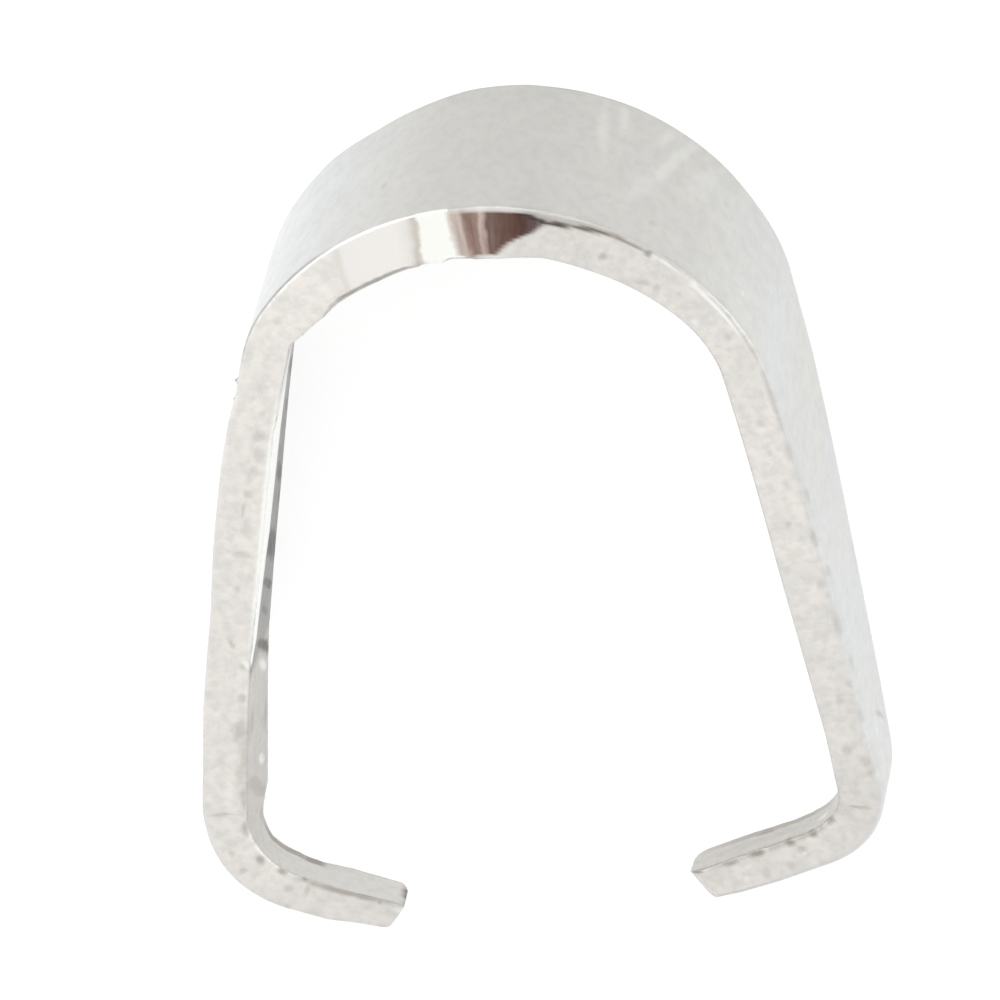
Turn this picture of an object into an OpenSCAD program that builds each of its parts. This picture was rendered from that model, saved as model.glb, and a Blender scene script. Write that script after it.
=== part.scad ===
// Pinch bail: one strip of plated sheet metal, pressed to an arch with two legs whose ends are
// bent in to small prongs. A pendant is caught between the prongs and a chain runs under the crown.
// Millimetres. The bail lies on its rear cut edge, crown towards +Y, front cut edge up,
// and its origin is on the surface below the middle of its box.

/* [Sheet] */
// Thickness of the sheet along both legs
sheet_t = 0.46; // [0.38:0.02:0.60]
// Thickness at the middle of the crown, where the press has upset the metal
crown_t = 0.58; // [0.40:0.02:0.70]
// Thickness at the tips of the prongs, where they are pinched thin
prong_t = 0.35; // [0.25:0.01:0.45]

/* [Width of the band] */
// Width of the band at the top of the crown
crown_w = 2.80; // [1.80:0.10:3.60]
// Width of the strip at the lowest prong
foot_w = 0.42; // [0.30:0.02:0.80]

/* [Crown] */
// Radius of the left half of the crown, at the middle of the sheet
crown_left_r = 2.77; // [2.40:0.01:3.20]
// Radius of the right half of the crown
crown_right_r = 2.67; // [2.40:0.01:3.20]
// Turn of the left half of the crown, in degrees
crown_left_turn = 53; // [48:1:58]
// Turn of the right half of the crown, in degrees
crown_right_turn = 49; // [44:1:54]
// Radius of the tighter left shoulder
shoulder_left_r = 1.58; // [1.00:0.01:2.20]
// Radius of the tighter right shoulder
shoulder_right_r = 1.83; // [1.00:0.01:2.20]

/* [Legs] */
// Length of the nearly straight lower part of the left leg
leg_left_low = 4.75; // [4.00:0.05:5.40]
// Length of the bowed upper part of the left leg
leg_left_high = 0.85; // [0.60:0.05:1.20]
// Length of the right leg
leg_right = 5.00; // [4.40:0.05:5.60]

/* [Prongs] */
// Radius of the bend between the left leg and its prong, at the middle of the sheet
bend_left_r = 1.01; // [0.80:0.01:1.20]
// Radius of the bend between the right leg and its prong
bend_right_r = 0.83; // [0.60:0.01:1.00]
// Turn of either bend, in degrees
bend_turn = 76.5; // [74:0.5:80]
// Straight length of the left prong
prong_left = 0.95; // [0.70:0.05:1.20]
// Straight length of the right prong
prong_right = 1.25; // [1.00:0.05:1.50]
// Length by which the outer face of a prong is cut back at its slanted tip
tip_cut = 0.22; // [0.05:0.01:0.30]

/* [Hidden] */

// Heading of the left prong, walked from its tip towards the bend, counted from +X towards +Z
start_heading = 165;
// Turns of the bowed legs and of the shoulders, in degrees
leg_left_low_turn = 5.5;
leg_left_high_turn = 8;
shoulder_left_turn = 20;
shoulder_right_turn = 28;
leg_right_turn = 4;
// Largest turn between two neighbouring points of a round stretch
turn_step = 4;

// Length of a round stretch of a given radius and turn
function arc(r, turn) = r * turn * PI / 180;

// The bent strip, walked from the left prong's tip over the crown to the right prong's tip.
// Columns: length along the middle of the sheet, turn to the right, thickness at the end
LENGTH = 0;
TURN = 1;
END_T = 2;
PATH = [
    [prong_left, 0, prong_t],
    [arc(bend_left_r, bend_turn), bend_turn, sheet_t],
    [leg_left_low, leg_left_low_turn, sheet_t],
    [leg_left_high, leg_left_high_turn, sheet_t],
    [arc(shoulder_left_r, shoulder_left_turn), shoulder_left_turn, sheet_t],
    [arc(crown_left_r, crown_left_turn), crown_left_turn, crown_t],
    [arc(crown_right_r, crown_right_turn), crown_right_turn, sheet_t],
    [arc(shoulder_right_r, shoulder_right_turn), shoulder_right_turn, sheet_t],
    [leg_right, leg_right_turn, sheet_t],
    [arc(bend_right_r, bend_turn), bend_turn, prong_t],
    [prong_right, 0, prong_t]
];

// Number of equal steps in which a stretch of the path is walked
function step_count(row) = max(1, ceil(row[TURN] / turn_step));

// Straight length of one step of a stretch walked in n steps, the chord of its arc
function chord(row, n) =
    let (arc_length = row[LENGTH] / n, half_turn = row[TURN] / n / 2)
    half_turn == 0 ? arc_length : arc_length * sin(half_turn) / (half_turn * PI / 180);

// Steps of the whole path, in the columns of PATH
STEPS = [
    for (i = [0 : len(PATH) - 1])
        let (
            row = PATH[i],
            n = step_count(row),
            start_t = i == 0 ? prong_t : PATH[i - 1][END_T]
        )
        for (k = [1 : n])
            [chord(row, n), row[TURN] / n, start_t + (row[END_T] - start_t) * k / n]
];

// Point at the end of a step that starts at point p
function walk(p, step) =
    let (along = p[HEADING] - step[TURN] / 2)
    [
        p[X] + step[LENGTH] * cos(along),
        p[Z] + step[LENGTH] * sin(along),
        p[HEADING] - step[TURN],
        step[END_T]
    ];

// Points of the middle line of the sheet, in the columns X, Z, HEADING and T
X = 0;
Z = 1;
HEADING = 2;
T = 3;
LAST = len(STEPS);
LINE = [
    for (
        i = 0, p = [0, 0, start_heading, prong_t];
        i <= LAST;
        p = i < LAST ? walk(p, STEPS[i]) : p, i = i + 1
    )
        p
];

// Point beside p: off is positive towards the outer face, along is positive in walking direction
function beside(p, off, along = 0) = [
    p[X] - off * sin(p[HEADING]) + along * cos(p[HEADING]),
    p[Z] + off * cos(p[HEADING]) + along * sin(p[HEADING])
];

OUTER = [
    for (i = [0 : LAST])
        beside(LINE[i], LINE[i][T] / 2, i == 0 ? tip_cut : i == LAST ? -tip_cut : 0)
];
INNER = [for (i = [LAST : -1 : 0]) beside(LINE[i], -LINE[i][T] / 2)];
OUTLINE = concat(OUTER, INNER);

low_x = min([for (p = OUTLINE) p[X]]);
high_x = max([for (p = OUTLINE) p[X]]);
low_z = min([for (p = OUTLINE) p[Z]]);
height = max([for (p = OUTLINE) p[Z]]) - low_z;

// Slope of each cut edge against the middle plane, which is the lean of the bail as it lies
lean = atan((crown_w - foot_w) / 2 / height);
// Distance along Y from the foot of the middle plane to the middle of the box
mid_y = ((crown_w - foot_w) / 2 * sin(lean) + height * cos(lean)) / 2;
// Height of the foot of the middle plane above the surface
mid_z = foot_w / 2 * cos(lean);

// Outline of the bent strip as seen from the front, standing on its lower prong
module front_outline() {
    translate([-(low_x + high_x) / 2, -low_z])
        polygon(OUTLINE);
}

// Outline of the band as seen from the side: broad at the crown, narrow at the prongs
module side_outline() {
    polygon([
        [-foot_w / 2, 0],
        [foot_w / 2, 0],
        [crown_w / 2, height],
        [-crown_w / 2, height]
    ]);
}

// The bail standing on its lower prong, front towards -Y
module upright_bail() {
    intersection() {
        rotate([90, 0, 0])
            linear_extrude(height = 2 * crown_w, center = true)
                front_outline();
        rotate([90, 0, 90])
            linear_extrude(height = 2 * (high_x - low_x), center = true)
                side_outline();
    }
}

// The bail at rest on its rear cut edge
module bail() {
    color([0.84, 0.84, 0.83])
        translate([0, -mid_y, mid_z])
            rotate([lean - 90, 0, 0])
                upright_bail();
}

bail();
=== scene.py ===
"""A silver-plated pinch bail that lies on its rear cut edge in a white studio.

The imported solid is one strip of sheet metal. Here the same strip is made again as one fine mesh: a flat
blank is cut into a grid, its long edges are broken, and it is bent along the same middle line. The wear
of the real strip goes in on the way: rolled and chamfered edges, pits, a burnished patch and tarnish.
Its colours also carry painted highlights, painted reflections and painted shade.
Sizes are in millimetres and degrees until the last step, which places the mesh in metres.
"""

import logging
import math
from dataclasses import dataclass, field
from enum import Enum

import bmesh
import bpy
import numpy as np
from mathutils import Matrix, Vector, noise


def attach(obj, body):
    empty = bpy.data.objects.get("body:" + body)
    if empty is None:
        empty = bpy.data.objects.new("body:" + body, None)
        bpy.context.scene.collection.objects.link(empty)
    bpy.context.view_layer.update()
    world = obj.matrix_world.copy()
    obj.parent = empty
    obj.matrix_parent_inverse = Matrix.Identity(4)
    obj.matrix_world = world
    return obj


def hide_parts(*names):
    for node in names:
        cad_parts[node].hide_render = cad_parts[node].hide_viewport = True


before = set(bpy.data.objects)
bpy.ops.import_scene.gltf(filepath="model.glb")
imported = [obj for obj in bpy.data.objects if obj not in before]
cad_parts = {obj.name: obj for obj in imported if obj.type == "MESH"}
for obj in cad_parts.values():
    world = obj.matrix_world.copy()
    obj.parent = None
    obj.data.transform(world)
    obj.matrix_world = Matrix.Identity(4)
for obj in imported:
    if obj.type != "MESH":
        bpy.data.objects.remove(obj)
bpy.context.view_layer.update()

LOG = logging.getLogger("bail")
# Metres in a millimetre
METRES = 0.001
# Smallest length that is divided by
TINY = 1e-9
# Middle of the values that a noise texture gives
NOISE_MEAN = 0.5


class Face(Enum):
    """The faces and corners of the strip that marks lie on."""

    OUTER = "outer"
    INNER = "inner"
    FRONT = "front"
    FRONT_INNER = "corner of the front and inner faces"
    FRONT_OUTER = "corner of the front and outer faces"


@dataclass(frozen=True)
class Stretch:
    """One stretch of the strip's middle line, straight or round.

    Args:
        length: Length along the middle of the sheet.
        turn: How far the stretch turns to the right, in degrees.
        end_t: Thickness of the sheet at its end.
    """

    length: float
    turn: float
    end_t: float


@dataclass(frozen=True)
class BailSizes:
    """Driving sizes of the bent strip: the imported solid's, and the prongs' own width prong_w."""

    sheet_t: float = 0.46
    crown_t: float = 0.58
    prong_t: float = 0.35
    crown_w: float = 2.80
    foot_w: float = 0.42
    prong_w: float = 0.54
    crown_left_r: float = 2.77
    crown_left_turn: float = 53.0
    crown_right_r: float = 2.67
    crown_right_turn: float = 49.0
    shoulder_left_r: float = 1.58
    shoulder_left_turn: float = 20.0
    shoulder_right_r: float = 1.83
    shoulder_right_turn: float = 28.0
    leg_left_low: float = 4.75
    leg_left_low_turn: float = 5.5
    leg_left_high: float = 0.85
    leg_left_high_turn: float = 8.0
    leg_right: float = 5.00
    leg_right_turn: float = 4.0
    bend_left_r: float = 1.01
    bend_right_r: float = 0.83
    bend_turn: float = 76.5
    prong_left: float = 0.95
    prong_right: float = 1.25
    tip_cut: float = 0.22
    start_heading: float = 165.0

    @staticmethod
    def arc(radius: float, turn: float) -> float:
        """Return the length of a round stretch."""
        return radius * math.radians(turn)

    def _round(self, radius: float, turn: float, end_t: float) -> Stretch:
        """Return a round stretch."""
        return Stretch(self.arc(radius, turn), turn, end_t)

    def stretches(self) -> list[Stretch]:
        """List the stretches that the strip is walked in.

        Returns:
            The stretches from the left prong's tip over the crown to the right prong's tip.
        """
        return [
            Stretch(self.prong_left, 0.0, self.prong_t),
            self._round(self.bend_left_r, self.bend_turn, self.sheet_t),
            Stretch(self.leg_left_low, self.leg_left_low_turn, self.sheet_t),
            Stretch(self.leg_left_high, self.leg_left_high_turn, self.sheet_t),
            self._round(self.shoulder_left_r, self.shoulder_left_turn, self.sheet_t),
            self._round(self.crown_left_r, self.crown_left_turn, self.crown_t),
            self._round(self.crown_right_r, self.crown_right_turn, self.sheet_t),
            self._round(self.shoulder_right_r, self.shoulder_right_turn, self.sheet_t),
            Stretch(self.leg_right, self.leg_right_turn, self.sheet_t),
            self._round(self.bend_right_r, self.bend_turn, self.prong_t),
            Stretch(self.prong_right, 0.0, self.prong_t),
        ]


class MiddleLine:
    """The middle line of the bent sheet, sampled closely enough to read any place from it."""

    STEP = 0.005

    def __init__(self, sizes: BailSizes) -> None:
        """Walk the stretches and keep the samples.

        Args:
            sizes: Driving sizes of the strip.
        """
        self.sizes = sizes
        along, x, z, heading, thick = [0.0], [0.0], [0.0], [sizes.start_heading], [sizes.prong_t]
        for stretch in sizes.stretches():
            count = math.ceil(stretch.length / self.STEP)
            step, turn = stretch.length / count, stretch.turn / count
            start_t = thick[-1]
            for k in range(1, count + 1):
                middle = math.radians(heading[-1] - turn / 2)
                along.append(along[-1] + step)
                x.append(x[-1] + step * math.cos(middle))
                z.append(z[-1] + step * math.sin(middle))
                heading.append(heading[-1] - turn)
                thick.append(start_t + (stretch.end_t - start_t) * k / count)
        self.along = np.array(along)
        self.x, self.z = np.array(x), np.array(z)
        self.heading, self.thick = np.radians(heading), np.array(thick)
        self.length = float(self.along[-1])
        outer = self._beside(self.thick / 2, sizes.tip_cut)
        inner = self._beside(-self.thick / 2, 0.0)
        xs, zs = np.concatenate([outer[0], inner[0]]), np.concatenate([outer[1], inner[1]])
        self.x -= (xs.min() + xs.max()) / 2
        self.z -= zs.min()
        self.height = float(zs.max() - zs.min())

    def _beside(self, off: np.ndarray, tip_cut: float) -> tuple[np.ndarray, np.ndarray]:
        """Return the line beside the middle line, with its two ends cut back.

        Args:
            off: Distance towards the outer face, for each sample.
            tip_cut: Length by which the two ends are cut back.

        Returns:
            The x and z of each sample that is left.
        """
        kept = (self.along >= tip_cut) & (self.along <= self.length - tip_cut)
        x = self.x - off * np.sin(self.heading)
        z = self.z + off * np.cos(self.heading)
        return x[kept], z[kept]

    def at(self, along: np.ndarray) -> tuple[np.ndarray, np.ndarray, np.ndarray, np.ndarray]:
        """Read the line. Beyond its two ends it goes straight on.

        Args:
            along: Distances from the left prong's tip.

        Returns:
            The x, z, heading in radians and thickness there.
        """
        x, z, heading, thick = (
            np.interp(along, self.along, row) for row in (self.x, self.z, self.heading, self.thick)
        )
        beyond = along - np.clip(along, 0.0, self.length)
        return x + beyond * np.cos(heading), z + beyond * np.sin(heading), heading, thick


@dataclass(frozen=True)
class Mark:
    """One pit, spot of staining, patch of painted shade or painted highlight.

    Args:
        face: The face or corner that it is on.
        along: Distance of its middle from the left prong's tip.
        place: Its middle across the face. On the front cut edge -1 is the inner face and 1 the
            outer one. On the broad faces -1 is the front edge and 1 the rear one. On a corner it is a
            distance, which grows onto the cut edge.
        half_along: Its half length along the strip.
        half_across: Its half width across the face.
        tarnish_and_shade: How dark it is painted, from 0 to 1, for staining and for painted shade alike.
        depth: How deep it goes, or how high it stands if negative.
        tilt: How far its length is turned from the strip towards the outer or rear side, in degrees.
        shine: How bright and smooth it is, from 0 to 1; the brightness is a painted highlight.
    """

    face: Face
    along: float
    place: float
    half_along: float
    half_across: float
    tarnish_and_shade: float = 0.0
    depth: float = 0.0
    tilt: float = 0.0
    shine: float = 0.0


@dataclass(frozen=True)
class Profile:
    """How a value changes from place to place, mostly along the strip, as rows of place and value."""

    rows: tuple[tuple[float, float], ...]

    def at(self, places: np.ndarray) -> np.ndarray:
        """Return the value at each place, in straight lines between the rows."""
        stations, values = np.array(self.rows).T
        return np.interp(places, stations, values)


@dataclass(frozen=True)
class Wear:
    """What the press, the tumbling barrel and handling left on the strip."""

    # Extra metal on the outer side of the sheet at its front and at its rear cut edge
    outer_front: Profile = Profile((
        (0.0, -0.05), (0.3, -0.015), (0.6, 0.04), (1.6, 0.036), (2.1, -0.002), (2.5, 0.003), (2.9, 0.004),
        (3.5, 0.016), (4.7, -0.008), (5.5, 0.015), (6.5, 0.017), (7.0, -0.006), (7.4, -0.038),
        (7.9, -0.004), (8.5, 0.01), (9.5, 0.02), (10.3, 0.016), (11.0, 0.0), (12.6, 0.006), (13.6, -0.008),
        (14.9, 0.012), (16.5, 0.028), (18.2, -0.01), (19.2, -0.006), (19.5, 0.01), (19.8, 0.038),
        (20.0, 0.048), (20.8, 0.04), (21.2, 0.015), (21.5, -0.03),
    ))
    outer_rear: Profile = Profile((
        (0.0, -0.02), (0.6, 0.0), (7.0, -0.01), (7.5, -0.025), (8.0, -0.035), (8.5, -0.014), (9.0, -0.006),
        (9.5, -0.038), (10.0, -0.02), (10.5, 0.01), (11.2, 0.004), (12.0, 0.018), (13.0, 0.012),
        (13.5, -0.008), (14.0, 0.006), (15.0, 0.026), (16.0, 0.013), (17.0, -0.006), (18.0, -0.012),
        (19.2, -0.014), (19.6, 0.012), (21.5, -0.02),
    ))
    # Extra metal on the inner side at the front and at the rear
    inner_front: Profile = Profile((
        (0.0, 0.04), (0.5, 0.02), (1.0, 0.035), (1.6, 0.015), (3.2, 0.0), (4.2, 0.0), (5.5, 0.045),
        (7.2, 0.035), (7.9, 0.012), (8.15, -0.028), (8.35, 0.028), (8.7, 0.058), (9.5, 0.1), (9.9, 0.095),
        (10.1, 0.045), (10.4, 0.08), (11.0, 0.07), (11.5, 0.025), (12.0, 0.045), (13.0, 0.03),
        (14.0, 0.005), (15.0, 0.014), (16.5, 0.042), (17.2, 0.04), (18.0, 0.03), (18.6, 0.016),
        (19.2, 0.03), (20.6, 0.035), (21.5, 0.04),
    ))
    inner_rear: Profile = Profile((
        (0.0, 0.045), (0.5, 0.035), (0.8, 0.01), (1.1, 0.03), (1.5, -0.005), (1.8, 0.028), (2.05, 0.1),
        (2.25, 0.133), (2.6, 0.12), (3.5, 0.072), (4.0, 0.052), (5.5, 0.037), (6.5, 0.007), (7.2, -0.01),
        (8.0, -0.01), (9.0, 0.0), (19.4, 0.0), (20.0, 0.012), (20.25, 0.022), (20.5, 0.0), (20.8, 0.01),
        (21.0, 0.018), (21.5, 0.018),
    ))
    # Chamfer between the front cut edge and the inner face
    front_inner_cut: Profile = Profile((
        (0.0, 0.015), (1.3, 0.02), (1.9, 0.04), (2.4, 0.055), (3.0, 0.06), (3.9, 0.05), (4.3, 0.035),
        (5.0, 0.04), (5.6, 0.05), (6.9, 0.055), (7.3, 0.02), (8.7, 0.02), (8.9, 0.10), (9.9, 0.11),
        (10.05, 0.02), (10.32, 0.02), (10.42, 0.09), (10.62, 0.06), (10.75, 0.02), (21.55, 0.02),
    ))
    # Rolled edge between the front cut edge and the outer face
    front_outer_roll: Profile = Profile((
        (0.0, 0.03), (8.3, 0.03), (10.45, 0.03), (10.62, 0.05), (11.0, 0.058), (11.25, 0.08), (11.5, 0.14),
        (11.8, 0.10), (12.1, 0.06), (12.5, 0.07), (13.6, 0.085), (14.3, 0.05), (15.0, 0.06), (16.0, 0.10),
        (18.5, 0.12), (19.2, 0.08), (21.55, 0.04),
    ))
    # Rounding of the rear edges, and of both tips' edges at the outer and at the inner face
    rear_roll: float = 0.025
    tip_round_outer: float = 0.09
    tip_round_inner: float = 0.05
    # Rounding of the left tip's and of the right tip's corners, at the front and at the rear edge
    left_corners: tuple[float, float] = (0.03, 0.20)
    right_corners: tuple[float, float] = (0.16, 0.26)
    # How far each tip reaches beyond its middle line's end, at its inner and outer sides
    left_reach: tuple[float, float] = (0.12, 0.25)
    right_reach: tuple[float, float] = (0.10, 0.23)
    # Depths of the torn grain, of the waves and of the pits
    grain: float = 0.011
    waves: float = 0.004
    pits: float = 0.008


@dataclass(frozen=True)
class ToneAndPaintedLight:
    """How light each face is along the strip: the plating wears and dulls unevenly, and painted reflections
    and painted shade go into the same lightness.
    """

    # Painted reflection and shade: the lighter left shoulder near 7.5 to 8.3 paints light from the left,
    # and the darker middle of the crown paints the shaded floor behind it.
    outer: Profile = Profile((
        (0.0, 0.66), (2.0, 0.70), (7.5, 0.80), (8.3, 0.79), (9.0, 0.71), (9.6, 0.65), (10.3, 0.57),
        (11.2, 0.55), (12.0, 0.58), (12.8, 0.60), (13.6, 0.665), (14.2, 0.69), (15.0, 0.675), (17.0, 0.695),
        (19.0, 0.70), (21.5, 0.66),
    ))
    # Painted dark reflection: from 4.05 to 7.0 the left leg's inner face is darkened for the shaded floor
    # between the legs.
    inner: Profile = Profile((
        (0.0, 0.64), (1.2, 0.64), (2.0, 0.58), (3.9, 0.56), (4.05, 0.34), (4.6, 0.27), (5.2, 0.23),
        (6.5, 0.24), (7.0, 0.31), (7.5, 0.58), (9.0, 0.60), (12.0, 0.60), (19.5, 0.60), (20.0, 0.61),
        (21.5, 0.60),
    ))
    front: Profile = Profile((
        (0.0, 0.685), (1.5, 0.74), (2.2, 0.755), (3.0, 0.75), (5.5, 0.775), (7.0, 0.775), (8.0, 0.79),
        (9.1, 0.81), (11.5, 0.71), (12.5, 0.735), (14.0, 0.75), (15.0, 0.77), (17.0, 0.745), (18.5, 0.725),
        (19.5, 0.70), (21.5, 0.70),
    ))
    rear: float = 0.72
    # Painted highlight on the left leg's inner face: the place across it up to which the bright strip
    # reaches, from its front edge
    inner_highlight_reach: Profile = Profile((
        (3.9, -1.3), (4.3, -0.65), (4.7, -0.55), (5.2, -0.45), (5.9, -0.15), (6.5, -0.02), (6.9, 0.12),
        (7.6, 0.3), (8.0, 0.3),
    ))
    # How bright that painted highlight is
    inner_highlight_strength: Profile = Profile(((7.0, 0.95), (7.25, 0.6), (7.6, 0.1), (8.0, 0.0)))
    # How torn and dull the inner face is
    inner_torn: Profile = Profile((
        (0.0, 0.6), (1.5, 0.6), (2.2, 1.0), (3.9, 1.0), (4.3, 0.0), (19.5, 0.0), (20.0, 0.8), (21.5, 0.8),
    ))


@dataclass(frozen=True)
class Burnish:
    """The stretch of the front cut edge on the crown that rubbed smooth and went brown. Its brown is
    tarnishing together with a painted dark reflection.
    """

    # Where it starts along the strip, and half the width of its soft border
    start: float = 9.23
    soft: float = 0.05
    # Where it ends, by place across the cut edge: -1 is the inner face and 1 the outer one
    end: Profile = Profile((
        (-1.0, 10.62), (-0.92, 10.62), (-0.78, 10.98), (-0.45, 11.08), (0.0, 11.33), (0.6, 11.50),
        (1.0, 11.58),
    ))
    # How much further along the strip its bands are for each unit towards the outer face
    slant: Profile = Profile(((9.2, 0.13), (10.1, 0.08), (10.6, 0.0)))

    def shifted(self, along: np.ndarray, level: np.ndarray) -> np.ndarray:
        """Return the distance along the strip at which each place's band crosses the middle."""
        return along - self.slant.at(along) * level

    def cover(self, shifted: np.ndarray, along: np.ndarray, level: np.ndarray) -> np.ndarray:
        """Tell the burnished stretch from the rest of the cut edge.

        Args:
            shifted: Places from shifted().
            along: Distances from the left prong's tip.
            level: Places across the cut edge.

        Returns:
            1 in the burnished stretch and 0 outside it.
        """
        rise = smooth(shifted, self.start - self.soft, self.start + self.soft)
        return rise * (1.0 - smooth(along - self.end.at(level), -self.soft, self.soft))


class Blank:
    """The flat blank as a fine closed grid, before it is bent.

    Along is +X from the left prong's tip, across is Y with the front edge at the low side, and
    through is Z with the outer face on top.
    """

    WIDTH = 2.80
    THICKNESS = 0.50
    # Bevel of the long edges, and the distances from them of the lines that stay beside them
    EDGE_BREAK = 0.03
    EDGE_LINES = (0.06, 0.09, 0.12)
    # Columns across the broad faces and through the cut edges, and steps along the strip
    BROAD_COLUMNS = 24
    CUT_COLUMNS = 15
    STATIONS = 880
    # Distance within which a cut takes an existing vertex
    CUT_REACH = 1e-6
    # Smallest angle between a corner's faces, in radians, and the share of the length of a long edge
    CORNER_ANGLE = 1.0
    LONG_SHARE = 0.99

    def __init__(self, length: float) -> None:
        """Keep the length of the strip along its middle."""
        self.length = length

    def mesh(self) -> bmesh.types.BMesh:
        """Cut the block into the grid.

        Returns:
            The grid as a bmesh.
        """
        grid = bmesh.new()
        bmesh.ops.create_cube(grid, size=1.0)
        bmesh.ops.scale(grid, vec=(self.length, self.WIDTH, self.THICKNESS), verts=grid.verts)
        bmesh.ops.translate(grid, vec=(self.length / 2, 0.0, 0.0), verts=grid.verts)
        self._cut_columns(grid)
        edges = self._long_edges(grid)
        corners = [edge for edge in edges if edge.calc_face_angle(0.0) > self.CORNER_ANGLE]
        bmesh.ops.bevel(
            grid, geom=corners, affect="EDGES", offset=self.EDGE_BREAK, segments=2, profile=0.5,
            material=-1, clamp_overlap=True,
        )
        bmesh.ops.subdivide_edges(
            grid, edges=self._long_edges(grid), cuts=self.STATIONS - 1, use_grid_fill=True
        )
        return grid

    def _cut_columns(self, grid: bmesh.types.BMesh) -> None:
        """Cut the block lengthwise, closer together near its edges.

        Args:
            grid: The block.
        """
        half = self.WIDTH / 2
        inside = half - self.EDGE_LINES[-1]
        across = [-inside + 2 * inside * k / self.BROAD_COLUMNS for k in range(self.BROAD_COLUMNS + 1)]
        for line in self.EDGE_LINES[:-1]:
            across += [line - half, half - line]
        flat = self.THICKNESS / 2 - self.EDGE_BREAK
        through = [-flat + 2 * flat * k / self.CUT_COLUMNS for k in range(1, self.CUT_COLUMNS)]
        for y in across:
            self._cut(grid, (0.0, y, 0.0), (0.0, 1.0, 0.0))
        for z in through:
            self._cut(grid, (0.0, 0.0, z), (0.0, 0.0, 1.0))

    @staticmethod
    def _cut(grid: bmesh.types.BMesh, place: tuple[float, float, float],
             normal: tuple[float, float, float]) -> None:
        """Cut the whole grid along a plane, and keep both sides.

        Args:
            grid: The block.
            place: A point on the plane.
            normal: The plane's direction.
        """
        everything = grid.verts[:] + grid.edges[:] + grid.faces[:]
        bmesh.ops.bisect_plane(
            grid, geom=everything, dist=Blank.CUT_REACH, plane_co=place, plane_no=normal
        )

    def _long_edges(self, grid: bmesh.types.BMesh) -> list[bmesh.types.BMEdge]:
        """Return the edges that run the whole length."""
        return [edge for edge in grid.edges if edge.calc_length() > self.length * self.LONG_SHARE]


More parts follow.
